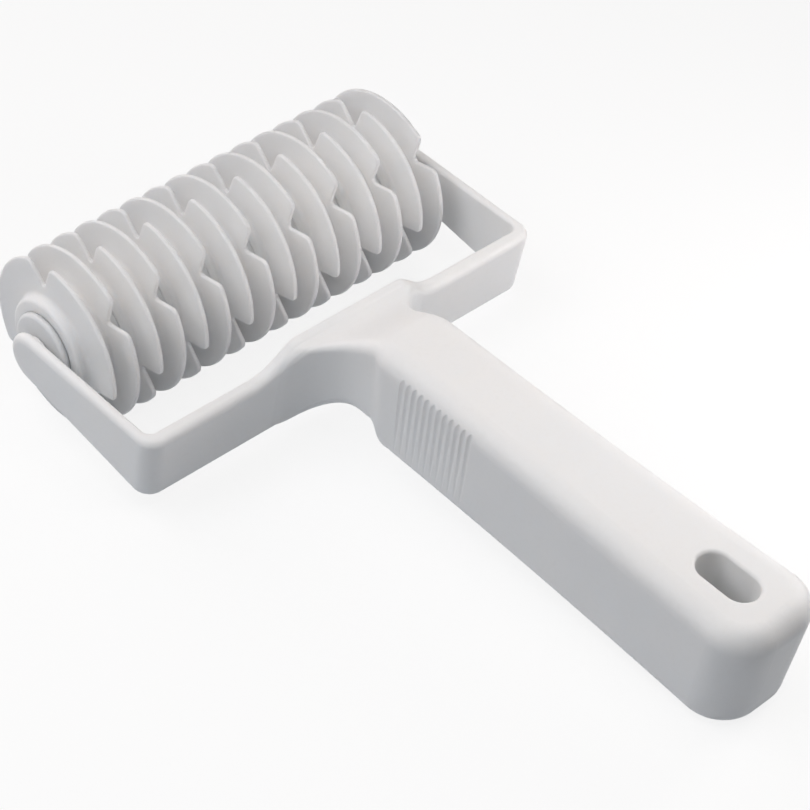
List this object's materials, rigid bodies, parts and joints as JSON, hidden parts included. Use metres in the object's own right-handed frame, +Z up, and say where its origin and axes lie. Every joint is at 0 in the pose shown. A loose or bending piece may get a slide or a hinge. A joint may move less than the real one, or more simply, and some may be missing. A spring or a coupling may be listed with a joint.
{
  "type": "lattice roller cutter",
  "caption": "White plastic pastry roller with notched cutting discs that turn freely in a U-shaped fork, on a straight handle with a hanging slot; it cuts lattice slits in dough.",
  "frame": {"origin": "on the table, below the middle of the tool's length and width, as it lies on its roller and tail", "axes": "+X along the roller's axis, +Y from the handle's tail to the roller, +Z up from the table"},
  "size_m": [0.132, 0.2232, 0.0488],
  "materials": {
    "frame_plastic": "satin white moulded plastic with a very fine texture",
    "disc_plastic": "satin white moulded plastic",
    "collar_plastic": "satin white moulded plastic",
    "core_plastic": "plain white moulded plastic",
    "axle_steel": "drawn stainless rod"
  },
  "bodies": {
    "frame": {"handle_frame": "frame_plastic", "axle": "axle_steel"},
    "roller": {"roller_core": "core_plastic", "cutter_disc_01": "disc_plastic", "cutter_disc_02": "disc_plastic", "cutter_disc_03": "disc_plastic", "cutter_disc_04": "disc_plastic", "cutter_disc_05": "disc_plastic", "cutter_disc_06": "disc_plastic", "cutter_disc_07": "disc_plastic", "cutter_disc_08": "disc_plastic", "cutter_disc_09": "disc_plastic", "cutter_disc_10": "disc_plastic", "cutter_disc_11": "disc_plastic", "cutter_disc_12": "disc_plastic", "cutter_disc_13": "disc_plastic", "cutter_disc_14": "disc_plastic", "cutter_disc_15": "disc_plastic", "cutter_disc_16": "disc_plastic", "end_collar_left": "collar_plastic", "end_collar_right": "collar_plastic"}
  },
  "joints": [
    {"name": "roller_spin", "type": "hinge", "parent": "frame", "child": "roller", "pos_m": [0, 0.08716, 0.0244], "axis": [1, 0, 0], "continuous": true}
  ]
}
